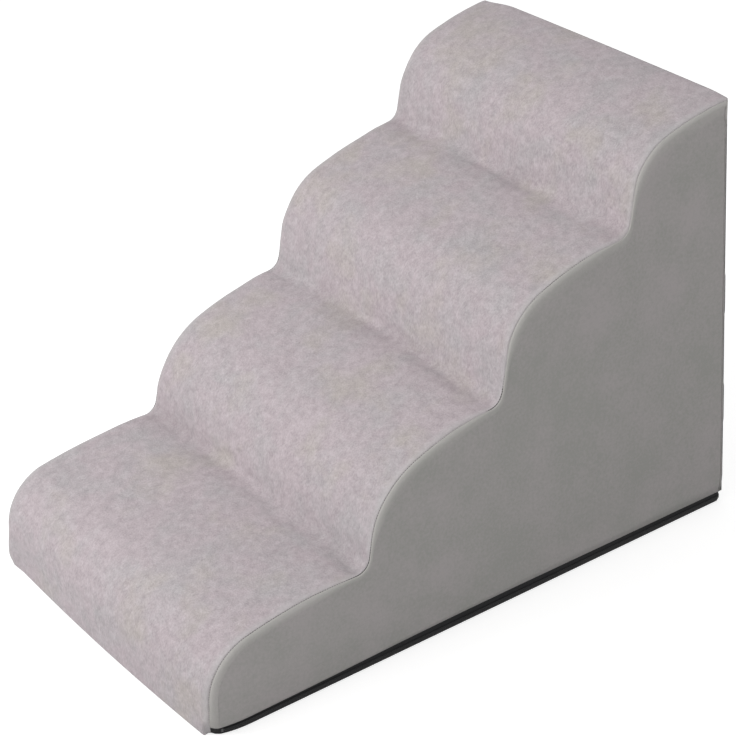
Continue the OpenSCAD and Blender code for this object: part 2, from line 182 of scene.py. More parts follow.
def settle(points):
    """A stuffed cover stands a little wider at its front than at its back, above the zip that holds its foot.
    At its right front corner the end of the zip draws it in, at the left one it stands out over its foot, and
    the two top corners at the back are a little slack."""
    points = np.array(points, float)
    across, along, z = points[..., 0] / half_w, points[..., 1] / stair_l, points[..., 2]
    from_front = (along + 0.5) * stair_l
    free = rise(z, above_zip) * (1 - rise(along, rear_span))
    drawn = fade(from_front, drawn_l) ** 2 * rise(across, right_rim) * (1 - rise(z, drawn_h))
    proud = fade(from_front, proud_l) * rise(-across, left_rim)
    proud *= mix(proud_foot, 1, rise(z, proud_rise)) * (1 - rise(z, proud_top))
    slack = left_drop * rise(-across, left_slack) + right_drop * rise(across, right_slack)
    slack *= rise(z, top_span) * rise(along, rear_top_span)
    wider = spread * across * rise(along, spread_span) * rise(z, above_zip)
    lower = free * across * (tilt - tilt_fall * along) + slack
    points[..., 0] += wider - free * across * along * lean - drawn * drawn_in - proud * proud_out
    points[..., 1] += drawn * drawn_back - proud * proud_fore
    points[..., 2] -= lower
    return points


def mix(a, b, t):
    return a + (b - a) * t


def new_material(name, **values):
    """A node material with a Principled shader, whose constant values are set on its own sockets."""
    material = bpy.data.materials.new(name)
    material.use_nodes = True
    tree = material.node_tree
    return material, tree, set_inputs(tree, tree.nodes["Principled BSDF"], **values)


def colour(red, green, blue):
    """A colour written in screen values of 0 to 255."""
    return tuple((c / 255 / 12.92) if c <= 10 else ((c / 255 + 0.055) / 1.055) ** 2.4
                 for c in (red, green, blue)) + (1,)


def new_group(name, inputs, outputs):
    """An empty node group with inputs and outputs by name and kind, its input sockets and its end node."""
    group = bpy.data.node_groups.new(name, "ShaderNodeTree")
    for way, sockets in (("INPUT", inputs), ("OUTPUT", outputs)):
        for label, kind in sockets:
            group.interface.new_socket(label, in_out=way, socket_type="NodeSocket" + kind)
    return group, group.nodes.new("NodeGroupInput").outputs, group.nodes.new("NodeGroupOutput")


def mapped(tree, value, low, high, to_low=0, to_high=1):
    """Goes evenly from to_low to to_high while the value goes from low to high."""
    return add_node(tree, "MapRange", value, From_Min=low, From_Max=high, To_Min=to_low, To_Max=to_high)


def blend_tones(tree, share, first, second):
    """The colour that goes from the first to the second as the share goes from 0 to 1."""
    node = add_node(tree, "Mix", _data_type="RGBA", Factor=share, A=first, B=second)
    return node.outputs["Result"]


def relief(tree, height, strength, depth):
    return add_node(tree, "Bump", Strength=strength, Distance=depth, Height=height)


# Open cells of cut foam: small pits, darker as painted shade, in a pale face that turns a little darker in
# clouds
foam_cells, cells_in, cells_out = new_group(
    "foam_cells",
    [("Face", "Color"), ("Pit", "Color"), ("Cell size", "Float")],
    [("Color", "Color"), ("Height", "Float")])
cells_place = add_node(foam_cells, "TexCoord").outputs["Object"]
cells_rate = math_node(foam_cells, "DIVIDE", 1 / mm, cells_in["Cell size"])
cells_near = add_node(foam_cells, "TexVoronoi", Vector=cells_place, Scale=cells_rate).outputs["Distance"]
# painted shade in the pits of the cells
cells_pits = mapped(foam_cells, cells_near, 0, 0.55, 1, 0)
cells_cloud = add_node(foam_cells, "TexNoise", cells_place, Scale=9.0, Detail=3.0)
cells_age = mapped(foam_cells, cells_cloud, 0.3, 0.7, 0, 0.25)
cells_share = math_node(foam_cells, "ADD", cells_pits, cells_age)
cells_tone = blend_tones(foam_cells, cells_share, cells_in["Face"], cells_in["Pit"])
set_inputs(foam_cells, cells_out, Color=cells_tone, Height=cells_near)


def foam_material(name, face, pit, cell):
    material, tree, shader = new_material(name, Roughness=0.95, Specular_IOR_Level=0.2)
    cells = add_node(tree, "Group", _node_tree=foam_cells, Face=face, Pit=pit, Cell_size=cell)
    set_inputs(tree, shader, Base_Color=cells, Normal=relief(tree, cells.outputs["Height"], 0.6, 0.6 * mm))
    return material


def solid_copy(name, node, material):
    """A CAD solid's mesh with a name and a material of its own, and its shape with the doubles merged."""
    mesh = nodes[node].data.copy()
    mesh.name = name
    mesh.materials.clear()
    mesh.materials.append(material)
    shape = bmesh.new()
    shape.from_mesh(mesh)
    bmesh.ops.remove_doubles(shape, verts=shape.verts, dist=0.01 * mm)
    return mesh, shape


def cut_across(shape, axis, cuts):
    """Cuts a mesh square to an axis at each of the places, so that it can bend there."""
    for cut in cuts:
        place, way = [0, 0, 0], [0, 0, 0]
        place[axis], way[axis] = float(cut), 1
        everything = list(shape.verts) + list(shape.edges) + list(shape.faces)
        bmesh.ops.bisect_plane(shape, geom=everything, plane_co=place, plane_no=way)


def points_of(mesh):
    places = np.empty(len(mesh.vertices) * 3)
    mesh.vertices.foreach_get("co", places)
    return places.reshape(-1, 3)


def soft_copy(name, node, material, cut_r):
    """The space of a foam solid, settled with the cover, with its cut edges worn round."""
    mesh, shape = solid_copy(name, node, material)
    made = bpy.data.objects.new(name, mesh)
    scene.collection.objects.link(made)
    cut_across(shape, 1, bend_cuts)
    cut_across(shape, 2, foot_cuts)
    shape.to_mesh(mesh)
    shape.free()
    if cut_r:
        bevel = made.modifiers.new("cut_edges", "BEVEL")
        bevel.width, bevel.segments, bevel.limit_method = cut_r, 2, "ANGLE"
    bpy.context.view_layer.update()
    solid = bpy.data.meshes.new_from_object(made.evaluated_get(bpy.context.evaluated_depsgraph_get()))
    made.modifiers.clear()
    made.data = solid
    solid.vertices.foreach_set("co", settle(points_of(solid)).ravel())
    solid.update()
    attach(made, "stairs")
    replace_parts(made, node)
    return made


firm_foam = foam_material("firm_foam", colour(236, 227, 196), colour(198, 184, 148), 1.1)
core = soft_copy("foam_core_block", "foam_core", firm_foam, 1.2 * mm)

# Comfort foam: a softer foam sheet glued over the front face and the steps of the core. It gives the treads
# their crown and the noses their round stuffed edge under the plush.
soft_foam = foam_material("soft_foam", colour(244, 239, 226), colour(214, 207, 190), 0.8)


def smooth(mesh):
    mesh.polygons.foreach_set("use_smooth", [True] * len(mesh.polygons))


comfort = soft_copy("comfort_foam_layer", "comfort_foam", soft_foam, 0)
smooth(comfort.data)
comfort.data.set_sharp_from_angle(angle=math.radians(40))

# Tread cover: one length of short-pile plush that runs from the front foot over every step to the top of the
# back. It is sewn to the sides just over the stuffed edge, to the back below the top edge and to the base in
# front. Its pile lies in clouds, and it creases where a riser meets the tread below it; a darker band of
# painted shade runs along each of these valleys.
edge_r = 11 * mm
nose_radii = [80 * mm, 125 * mm, 100 * mm, 90 * mm]
valley_r = 14 * mm
valleys = [(stair_l * along, stair_h * up) for along, up in
           ((0, 0), (0.288, 0.248), (0.544, 0.502), (0.797, 0.771), (1, 1))]
riser_slopes = [89, 78, 78, 78]
blend_slopes = [12, 22, 22, 22]
end_slopes = [-3, 3, 3, 2.5]
front_share, valley_share, back_share, fill_share = 1.2, 0.45, 0.8, 0.25
tread_crown, front_crown, back_crown, top_crown = 4.5 * mm, 5 * mm, 1.5 * mm, 0.9 * mm
back_tuck, tuck_h = 6 * mm, 40 * mm
floor_gap = 1 * mm
seam_turn = math.radians(25)
plush_lip_r, woven_lip_r, seam_gap = 1.0 * mm, 0.7 * mm, 0.9 * mm
top_lip_r = 2.2 * mm
lip_tail, lip_turns = 1.2 * mm, np.radians([30, 60, 85])
riser_points, nose_points, tread_points, valley_points = 24, 60, 90, 24


def heading(slope):
    return np.stack([np.cos(np.radians(slope)), np.sin(np.radians(slope))], -1)


def normal_of(slope):
    return np.stack([-np.sin(np.radians(slope)), np.cos(np.radians(slope))], -1)


def across_of(a, b):
    return a[0] * b[1] - a[1] * b[0]


def arc_from(start, radius, first, last, count):
    """Places and slopes along an arc, whose radius is negative where the outline is hollow."""
    slopes = np.linspace(first, last, count)
    return start + radius * (normal_of(slopes) - normal_of(first)), slopes


def steps_outline(foot):
    """The steps seen from the side: rows of place, slope, edge share, crown, and nearness to a valley."""
    rows, low = [], foot / math.sin(math.radians(riser_slopes[0]))
    for k, radius in enumerate(nose_radii):
        here, there = np.array(valleys[k]), np.array(valleys[k + 1])
        steep, blend, end = riser_slopes[k], blend_slopes[k], end_slopes[k]
        first, last = k == 0, k == len(nose_radii) - 1
        low_crown = front_crown if first else tread_crown
        up = heading(steep)
        rest = there - here - radius * (normal_of(blend) - normal_of(steep))
        tread = normal_of(end) - normal_of(blend)
        size = across_of(up, tread)
        riser, tread_r = across_of(rest, tread) / size, across_of(up, rest) / size
        for t in np.linspace(0, 1, riser_points)[:-1]:
            share = front_share if first else mix(valley_share, filled(0), t)
            rows.append([*(here + mix(low, riser, t) * up), steep, share, low_crown, 0])
        places, slopes = arc_from(here + riser * up, radius, steep, blend, nose_points)
        for p, slope, t in zip(places, slopes, np.linspace(0, 1, nose_points)):
            share = mix(front_share, 1, ease(t)) if first else filled(t)
            rows.append([*p, slope, share, mix(low_crown, tread_crown, ease(t)), 0])
        low = 0 if last else valley_r * math.tan(math.radians(riser_slopes[k + 1] - end) / 2)
        places, slopes = arc_from(places[-1], tread_r, blend, end + math.degrees(low / tread_r), tread_points)
        for p, slope, t in zip(places[1:], slopes[1:], np.linspace(0, 1, tread_points)[1:]):
            share = mix(1, back_share if last else valley_share, ease(t if last else 2 * t - 1))
            crown = mix(tread_crown, top_crown, ease(t)) if last else tread_crown
            rows.append([*p, slope, share, crown, 0])
        if not last:
            places, slopes = arc_from(places[-1], -valley_r, slopes[-1], riser_slopes[k + 1], valley_points)
            for p, slope in zip(places[1:-1], slopes[1:-1]):
                rows.append([*p, slope, valley_share, tread_crown, 1])
    return np.array(rows)


def filled(t):
    """A nose's edge fills out from the narrow edge in the valley."""
    return mix(valley_share, 1, ease(fill_share + 2 * t))


def run_of(places):
    """The length that a line has run at each of its places."""
    return np.concatenate([[0], np.cumsum(np.linalg.norm(np.diff(places, axis=0), axis=1))])


def between(at, run, values):
    """The values where a line has run that far, between the rows that are given for its run."""
    return np.stack([np.interp(at, run, column) for column in values.T], -1)


def spaced(rows, step):
    """The outline again with its points evenly spaced."""
    along = run_of(rows[:, :2])
    keep = np.concatenate([[True], np.diff(along) > 1e-7])
    at = np.linspace(0, along[-1], round(along[-1] / step) + 1)
    return between(at, along[keep], rows[keep]), at


def cover_point(line, station, turn):
    """Places on the stuffed cover, with their outward normals and the direction in which turn grows.
    station runs from -1 to 1 over the crown, and turn is the angle round the edge."""
    side = np.sign(station) + (np.abs(station) < 1e-9)
    r = edge_r * line["share"]
    drop = line["crown"] * station ** 2 + r * (1 - np.cos(turn))
    yz = line["place"] - drop[..., None] * line["normal"]
    x = station * (half_w - r) + side * r * np.sin(turn)
    place = np.stack([x + 0 * drop, yz[..., 0] - stair_l / 2, yz[..., 1]], -1)
    turn = turn + 0 * drop
    ny, nz = line["normal"][..., 0], line["normal"][..., 1]
    outward = np.stack([side * np.sin(turn), np.cos(turn) * ny, np.cos(turn) * nz], -1)
    onward = np.stack([side * np.cos(turn), -np.sin(turn) * ny, -np.sin(turn) * nz], -1)
    return place, outward, onward


def line_of(rows):
    return {"place": rows[:, :2], "normal": normal_of(rows[:, 2]), "share": rows[:, 3], "crown": rows[:, 4]}


def lip(place, outward, onward, radius, way):
    """The rounded edge by which a cloth dives into its seam, from its face inwards."""
    folds = [place - outward * radius * (1 - math.cos(a)) + way * onward * radius * math.sin(a)
             for a in lip_turns]
    folds.append(place - outward * (radius + lip_tail) + way * onward * radius)
    return folds


def seam_to_seam(line, turn, shares, count, radius):
    """A cloth between its two side seams, which lie at that turn round the edges, in rows and columns: its
    places, its outward normals and how far each place is from the middle."""
    r = edge_r * line["share"]
    halves = []
    for side in (-1, 1):
        half = []
        for share in shares:
            half.append((*cover_point(line, side, share * turn), side * (half_w - r + share * turn * r)))
        place, outward, onward, far = half[0]
        folds = lip(place, outward, onward, radius, 1)
        half = [(fold, outward, onward, far + side * i * mm) for i, fold in enumerate(folds, 1)][::-1] + half
        halves.append(half if side < 0 else half[::-1])
    middle = [(*cover_point(line, s, 0 * r), s * (half_w - r)) for s in np.linspace(-1, 1, count)]
    columns = halves[0] + middle + halves[1]
    return [np.stack([column[i] for column in columns], 1) for i in (0, 1, 3)]


def quads_between(ids, flip=False):
    """The faces between points that are numbered in rows and columns."""
    quads = np.stack([ids[:-1, :-1], ids[:-1, 1:], ids[1:, 1:], ids[1:, :-1]], -1).reshape(-1, 4)
    return quads[:, ::-1] if flip else quads


def grid_faces(rows, cols, flip=False):
    return quads_between(np.arange(rows * cols).reshape(rows, cols), flip)


def unevenness(rows, cols, step, size, seed):
    """A smooth random field over a grid with cells of that step, with lumps of that size, of unit spread."""
    field = np.random.default_rng(seed).standard_normal((rows, cols))
    down, over = np.fft.fftfreq(rows, step[0])[:, None], np.fft.rfftfreq(cols, step[1])[None, :]
    keep = np.exp(-2 * np.pi ** 2 * ((size[0] * down) ** 2 + (size[1] * over) ** 2))
    field = np.fft.irfft2(np.fft.rfft2(field) * keep, s=(rows, cols))
    return field / field.std()


def set_attribute(mesh, name, values):
    """A value or a vector at each point of a mesh, for its material."""
    values = np.asarray(values, np.float32)
    vector = values.ndim == 2
    attribute = mesh.attributes.new(name, "FLOAT_VECTOR" if vector else "FLOAT", "POINT")
    attribute.data.foreach_set("vector" if vector else "value", values.ravel())


def placed(name, mesh, body="stairs"):
    """A mesh as an object of the scene and riding on its body."""
    made = bpy.data.objects.new(name, mesh)
    scene.collection.objects.link(made)
    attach(made, body)
    return made


def piece_from(name, points, faces, material):
    """A mesh of the scene's own, which rides with the stairs."""
    mesh = bpy.data.meshes.new(name)
    mesh.from_pydata(np.asarray(points).reshape(-1, 3).tolist(), [], [tuple(f) for f in faces])
    mesh.validate()
    smooth(mesh)
    mesh.materials.append(material)
    return placed(name, mesh)


plush_step, across_step, plush_shares, plush_columns = 2.4 * mm, 2.6 * mm, (1, 0.66, 0.33), 181
foot_r, foot_under, top_under = 1.5 * mm, 165, -88
calm_l, rim_calm, rim_in = 25 * mm, 8 * mm, 2 * mm
# The last three shape the band of painted shade along each valley.
valley_reach, crease_above, crease_below, crease_shift = 16 * mm, 26 * mm, 9 * mm, 3.5 * mm
valley_span, swell_h, tuft_h, pucker_h, valley_depth = 20 * mm, 0.8 * mm, 0.16 * mm, 0.9 * mm, 0.8 * mm
# The first two give the band of painted sheen along the side seams.
sheen_out, sheen_w, backing_t = 3 * mm, 9 * mm, 1.0 * mm
rows = steps_outline(floor_gap + foot_r)
roll_places, roll_slopes = arc_from(np.zeros(2), foot_r, foot_under, riser_slopes[0], 14)
roll_places += rows[0, :2] - roll_places[-1]
foot_rows = [[*p, s, front_share, front_crown, 0] for p, s in zip(roll_places[:-1], roll_slopes)]
top_start = np.array([stair_l - top_lip_r, rows[-1, 1]])
roll_places, roll_slopes = arc_from(top_start, top_lip_r, end_slopes[-1], top_under, 6)
top_rows = [[*p, s, back_share, top_crown, 0] for p, s in zip(roll_places, roll_slopes)]
rows = np.concatenate([foot_rows, rows[rows[:, 0] < stair_l - top_lip_r], top_rows])
rows, plush_along = spaced(rows, plush_step)
plush_line = line_of(rows)
count = len(rows)
r = edge_r * plush_line["share"]
plush_turn = np.maximum(seam_turn - (plush_lip_r + seam_gap / 2) / r, 0)
places, normals, across = seam_to_seam(plush_line, plush_turn, plush_shares, plush_columns, plush_lip_r)
wide = places.shape[1]
edge_near = np.clip((np.abs(across) - (half_w - r - rim_in)[:, None]) / rim_calm, 0, 1)
valley_near, valley_shade = np.zeros(count), np.zeros((count, wide))
wander = unevenness(1, wide, (1, across_step), (1, 30 * mm), 14)[0]
# Near each valley the plush puckers, and a band of painted shade darkens its colour.
for _, valley_z in valleys[1:-1]:
    hollow = rows[:, 5] * (np.abs(rows[:, 1] - valley_z) < valley_span)
    centre = np.argmax(hollow) + int((hollow > 0.5).sum() / 2)
    apart = plush_along - plush_along[centre]
    valley_near = np.maximum(valley_near, np.exp(-(apart / valley_reach) ** 2))
    apart = apart[:, None] - crease_shift * wander
    reach = np.where(apart < 0, crease_above, crease_below)
    valley_shade = np.maximum(valley_shade, np.exp(-(apart / reach) ** 2))
cells = (plush_step, across_step)
dents = unevenness(count, wide, cells, (30 * mm, 40 * mm), 11)
tufts = unevenness(count, wide, cells, (5 * mm, 5 * mm), 12)
creases = unevenness(count, wide, cells, (5 * mm, 16 * mm), 13)
ends_calm = ease(plush_along / calm_l) * ease((plush_along[-1] - plush_along) / calm_l)
inside = (1 - edge_near) * ends_calm[:, None]
lift = inside * (swell_h * dents + tuft_h * tufts)
lift += valley_near[:, None] * inside * (pucker_h * creases - valley_depth)
places += normals * lift[..., None]
places[0] = places[1] + [0, *(rows[0, :2] - rows[1, :2])]
places = settle(places)

# Plush: the pile's colour comes in clouds and blotches of pinkish and neutral grey, with fine light and dark
# tips. Along the side seams it is painted paler as painted sheen, and in the valleys darker as painted shade
pile, pile_in, pile_out = new_group(
    "short_pile",
    [(tone, "Color") for tone in ("Pink", "Grey", "Beige", "Tip", "Root")],
    [("Color", "Color"), ("Height", "Float")])
pile_place = add_node(pile, "TexCoord").outputs["Object"]
pile_clouds = add_node(pile, "TexNoise", pile_place, Scale=16.0, Detail=4.0, Roughness=0.62, Distortion=0.4)
pile_blotches = add_node(pile, "TexNoise", pile_place, Scale=95.0, Detail=4.0, Roughness=0.65)
pile_stretch = add_node(pile, "Mapping", pile_place, Scale=(1, 1, 0.42))
pile_tufts = add_node(pile, "TexNoise", pile_stretch, Scale=500.0, Detail=3.0, Roughness=0.65)
pile_moved = add_node(pile, "Mapping", pile_place, Location=(0.7, 0.3, 0.1))
pile_patches = add_node(pile, "TexNoise", pile_moved, Scale=11.0, Detail=3.0, Roughness=0.55)
grey_share = mapped(pile, pile_clouds, 0.42, 0.70)
beige_share = mapped(pile, pile_patches, 0.52, 0.68)
blotch_level = mapped(pile, pile_blotches, 0.36, 0.66, -0.13, 0.13)
tuft_level = mapped(pile, pile_tufts, 0.34, 0.68, -0.17, 0.17)
pale_share = math_node(pile, "ADD", blotch_level, tuft_level)
dark_share = math_node(pile, "MULTIPLY", pale_share, -1)
pile_tone = blend_tones(pile, grey_share, pile_in["Pink"], pile_in["Grey"])
pile_tone = blend_tones(pile, beige_share, pile_tone, pile_in["Beige"])
pile_tone = blend_tones(pile, dark_share, pile_tone, pile_in["Root"])
pile_tone = blend_tones(pile, pale_share, pile_tone, pile_in["Tip"])
set_inputs(pile, pile_out, Color=pile_tone, Height=math_node(pile, "ADD", pile_blotches, pile_tufts))

plush, tree, shader = new_material(
    "plush", Roughness=0.95, Specular_IOR_Level=0.15, Sheen_Weight=0.25, Sheen_Roughness=0.5,
    Sheen_Tint=colour(235, 232, 235))
fibres = add_node(
    tree, "Group", _node_tree=pile, Pink=colour(179, 168, 172), Grey=colour(173, 168, 170),
    Beige=colour(177, 169, 166), Tip=colour(228, 221, 224), Root=colour(96, 88, 91))
plush_tone = fibres.outputs["Color"]
# Painted light: a paler tone as painted sheen along the side seams, a darker one as painted shade in the
# valleys.
painted_light_tones = (("seam_near", 0.55, colour(182, 180, 180)), ("crease", 0.15, colour(120, 111, 112)))
for attribute, share, tone in painted_light_tones:
    near = add_node(tree, "Attribute", _attribute_name=attribute).outputs["Fac"]
    plush_tone = blend_tones(tree, math_node(tree, "MULTIPLY", near, share), plush_tone, tone)
plush_relief = relief(tree, fibres.outputs["Height"], 0.75, 0.9 * mm)
set_inputs(tree, shader, Base_Color=plush_tone, Normal=plush_relief)


def thicken(made, name, thickness, offset=-1):
    """Gives a sheet its thickness, inwards from its face or, with an offset of 1, outwards."""
    solid = made.modifiers.new(name, "SOLIDIFY")
    solid.thickness, solid.offset = thickness, offset


treads = piece_from("plush_tread_cover", places, grid_faces(count, wide, flip=True), plush)
# painted sheen: the plush is painted paler along the side seams
near = fade((half_w - r)[:, None] + sheen_out - np.abs(across), sheen_w)
set_attribute(treads.data, "seam_near", near.ravel())
# painted shade along the valleys, patchy along their length
patchy = np.clip(0.8 + 0.5 * unevenness(count, wide, cells, (12 * mm, 26 * mm), 15), 0.1, 1.8)
set_attribute(treads.data, "crease", (valley_shade * (1 - near) * patchy).ravel())
thicken(treads, "backing", backing_t)
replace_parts(treads, "tread_cover")


# Side panels: fine woven upholstery cloth. Each is sewn to the plush just over the stuffed edge, rolls over
# that edge and falls flat to the zip, which draws in its foot. It also turns round the upright back corner.
hem_z, hem_gap, hump_h, rear_h = 10.4 * mm, 1.5 * mm, 4.8 * mm, 3.2 * mm
hump_y, hump_l, rear_rise = -60 * mm, 180 * mm, (-100 * mm, 200 * mm)
side_rolls, side_rows = 8, 46
flat_step, field_rows, field_columns, field_margin = 3 * mm, 320, 240, 8
shoulder, shoulder_w, shoulder_h, cloth_t = 2.0 * mm, 28 * mm, 45 * mm, 1.0 * mm
calm_foot, calm_rim, calm_back, corner_w, corner_gap = 25 * mm, 20 * mm, 30 * mm, 45 * mm, 6 * mm
wave_h, pull_h, deepest = 0.25 * mm, 0.1 * mm, -0.5 * mm
# The cloth is painted paler near its seams, as a painted highlight on its rolled edges, most along the steps.
highlight_w, highlight_all, highlight_steps = 15 * mm, 0.15, 0.6


def back_y(z):
    return stair_l - back_tuck * np.maximum(0, 1 - z / tuck_h) ** 2


def upright_line(z):
    """The line of the back at each of the heights, in the form that line_of gives."""
    return {"place": np.stack([back_y(z), z], 1), "normal": np.tile([1.0, 0.0], (len(z), 1)),
            "share": np.full(len(z), back_share), "crown": np.full(len(z), back_crown)}


def hem_at(y):
    """The hem isn't straight: it rises over the middle of the side, where more of the zip's tape shows."""
    return hem_z + hem_gap + hump_h * np.exp(-((y - hump_y) / hump_l) ** 2) + rear_h * rise(y, rear_rise)


threads, threads_in, threads_out = new_group(
    "woven_threads", [("Cloth place", "Vector"), ("Pitch", "Float")], [("Height", "Float")])
weave_split = add_node(threads, "SeparateXYZ", threads_in["Cloth place"]).outputs
weave_rate = math_node(threads, "DIVIDE", math.pi / mm, threads_in["Pitch"])
waves, backs = [], []
for axis in ("X", "Y"):
    scaled = math_node(threads, "MULTIPLY", weave_split[axis], weave_rate)
    waves.append(math_node(threads, "SINE", scaled))
    backs.append(math_node(threads, "ABSOLUTE", math_node(threads, "COSINE", scaled)))
weave_over = math_node(threads, "GREATER_THAN", math_node(threads, "MULTIPLY", *waves), 0)
weave_height = add_node(threads, "Mix", _data_type="FLOAT", Factor=weave_over, A=backs[0], B=backs[1])
set_inputs(threads, threads_out, Height=weave_height)

melange, melange_in, melange_out = new_group(
    "cloth_melange", [("Light", "Color"), ("Dark", "Color"), ("Contrast", "Float")], [("Color", "Color")])
melange_place = add_node(melange, "TexCoord").outputs["Object"]
melange_clouds = add_node(melange, "TexNoise", melange_place, Scale=14.0, Detail=5.0, Roughness=0.6)
melange_slubs = add_node(melange, "TexNoise", melange_place, Scale=260.0, Detail=3.0, Roughness=0.6)
melange_sum = math_node(melange, "ADD", melange_clouds, melange_slubs)
melange_mask = mapped(melange, melange_sum, 0.8, 1.2)
melange_share = math_node(melange, "MULTIPLY", melange_mask, melange_in["Contrast"])
melange_tone = blend_tones(melange, melange_share, melange_in["Light"], melange_in["Dark"])
set_inputs(melange, melange_out, Color=melange_tone)


def woven_material(name, light, dark, contrast, pitch, depth, painted_highlight=None, **values):
    """Its last colour is a painted highlight, to which the cloth pales where its attribute seam_near is 1."""
    material, tree, shader = new_material(name, **values)
    place = add_node(tree, "Attribute", _attribute_name="cloth_place").outputs["Vector"]
    weave = add_node(tree, "Group", _node_tree=threads, Cloth_place=place, Pitch=pitch)
    tones = add_node(tree, "Group", _node_tree=melange, Light=light, Dark=dark, Contrast=contrast)
    tone = tones.outputs["Color"]
    # painted highlight near the seams
    if painted_highlight:
        near = add_node(tree, "Attribute", _attribute_name="seam_near").outputs["Fac"]
        tone = blend_tones(tree, near, tone, painted_highlight)
    set_inputs(tree, shader, Base_Color=tone, Normal=relief(tree, weave, 0.5, depth))
    return material


woven = woven_material(
    "woven_cloth", colour(162, 157, 157), colour(149, 149, 145), 0.9, 0.8, 0.15 * mm,
    painted_highlight=colour(184, 182, 178), Roughness=0.85, Specular_IOR_Level=0.25,
    Sheen_Weight=0.15, Sheen_Roughness=0.4)

rear_hem = hem_at(stair_l / 2)
upper_rows, _ = spaced(steps_outline(hem_at(-stair_l / 2)), plush_step)
upper_rows = upper_rows[upper_rows[:, 0] < stair_l - corner_gap]
upper_count = len(upper_rows)
top_slope = math.radians(end_slopes[-1])
mitre = np.array([1, (1 + math.sin(top_slope)) / math.cos(top_slope)])
corner_r = edge_r * back_share
rim_top = stair_h - (top_crown + corner_r) * mitre[1]
back_z = np.linspace(rim_top, rear_hem, side_rows)[1:]
upper_line, back_corner = line_of(upper_rows), upright_line(back_z)
top_corner = {"place": [[stair_l, stair_h]], "normal": [mitre], "share": [back_share], "crown": [top_crown]}
side_line = {key: np.concatenate([upper_line[key], top_corner[key], back_corner[key]]) for key in top_corner}
side_waves = unevenness(field_rows, field_columns, (flat_step, flat_step), (26 * mm, 34 * mm), 21)
side_pulls = unevenness(field_rows, field_columns, (flat_step, flat_step), (7 * mm, 22 * mm), 22)
at_steps = np.concatenate([np.ones(upper_count), np.linspace(1, 0, 4), np.zeros(len(back_z) - 3)])


def field_at(field, y, z):
    """The value of a random field at a place on the side."""
    i = np.clip((y + stair_l / 2) / flat_step + field_margin, 0, field.shape[0] - 2)
    j = np.clip(z / flat_step + field_margin, 0, field.shape[1] - 2)
    a, b = i.astype(int), j.astype(int)
    u, v = i - a, j - b
    return (field[a, b] * (1 - u) * (1 - v) + field[a + 1, b] * u * (1 - v)
            + field[a, b + 1] * (1 - u) * v + field[a + 1, b + 1] * u * v)


def side_roll(side):
    """The cloth from its seam over the stuffed edge, as rows of places, with the length that each has run."""
    r = edge_r * side_line["share"]
    start = seam_turn + (woven_lip_r + seam_gap / 2) / r
    last_turn = math.pi / 2 - 2 * shoulder / shoulder_w
    lines, runs = [], []
    for share in np.linspace(0, 1, side_rolls):
        turn = start + (last_turn - start) * share
        place, outward, onward = cover_point(side_line, side, turn)
        place[..., 0] -= side * shoulder * share ** 2 * at_steps * ease((place[..., 2] - hem_z) / shoulder_h)
        lines.append((place, outward, onward))
        runs.append((turn - start) * r)
    folds = lip(*lines[0], woven_lip_r, -1)[::-1]
    rolled = np.stack(folds + [line[0] for line in lines])
    return rolled, np.stack([np.zeros_like(r)] * len(folds) + runs)


def side_flat(side, rim):
    """The cloth from the rim of its rolled edge down to the hem, with shallow swells and pulls."""
    tops = rim[:upper_count + 1]
    shares = np.linspace(0, 1, side_rows)[1:, None]
    flat = np.empty((side_rows - 1, upper_count + 1, 3))
    flat[..., 1] = tops[None, :, 1]
    flat[..., 2] = mix(tops[None, :, 2], hem_at(tops[None, :, 1]), shares)
    near_rim = np.full(flat.shape[:2], np.inf)
    for y, z in tops[::4, 1:]:
        near_rim = np.minimum(near_rim, np.hypot(flat[..., 1] - y, flat[..., 2] - z))
    eased = ease((flat[..., 2] - hem_z) / shoulder_h) * fade(near_rim, shoulder_w) ** 2
    flat[..., 0] = side * (half_w - shoulder * eased)
    flat[:, -1] = rim[upper_count + 1:]
    edge_in = np.clip((flat[..., 1] - (stair_l / 2 - corner_w)) / (corner_w - corner_r), 0, 1) ** 2
    flat[:, :-1, 0] += (rim[upper_count + 1:, 0] - side * half_w)[:, None] * edge_in[:, :-1]
    calm = np.minimum(1, (flat[..., 2] - hem_z) / calm_foot)
    calm = calm * np.minimum(1, (tops[None, :, 2] - flat[..., 2]) / calm_rim)
    calm *= np.clip((stair_l / 2 - corner_r - flat[..., 1]) / calm_back, 0, 1)
    swell = wave_h * field_at(side_waves, flat[..., 1], flat[..., 2])
    swell += pull_h * field_at(side_pulls, flat[..., 1], flat[..., 2])
    flat[..., 0] += side * calm * np.maximum(swell, deepest)
    return flat


def side_cover(name, side, node):
    rolled, run = side_roll(side)
    flat = side_flat(side, rolled[-1])
    cols, first_flat, last_roll = rolled.shape[1], rolled.shape[0] * rolled.shape[1], len(rolled) - 1
    points = np.concatenate([rolled.reshape(-1, 3), flat[:, :-1].reshape(-1, 3)])
    ids = np.empty((side_rows, upper_count + 1), int)
    ids[0] = last_roll * cols + np.arange(upper_count + 1)
    ids[1:, :-1] = first_flat + np.arange((side_rows - 1) * upper_count).reshape(side_rows - 1, -1)
    ids[1:, -1] = last_roll * cols + np.arange(upper_count + 1, cols)
    faces = np.concatenate([grid_faces(len(rolled), cols, side > 0), quads_between(ids, side > 0)])
    made = piece_from(name, settle(points), faces, woven)
    set_attribute(made.data, "cloth_place", np.stack([points[:, 1], points[:, 2], 0 * points[:, 2]], 1))
    seam_near = np.zeros(len(points))
    # painted highlight on the rolled edge, paler toward the seam
    seam_near[:first_flat] = (fade(run, highlight_w) * (highlight_all + highlight_steps * at_steps)).ravel()
    set_attribute(made.data, "seam_near", seam_near)
    thicken(made, "cloth", cloth_t)
    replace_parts(made, node)


side_cover("woven_side_right", 1, "side_panel_right")
side_cover("woven_side_left", -1, "side_panel_left")

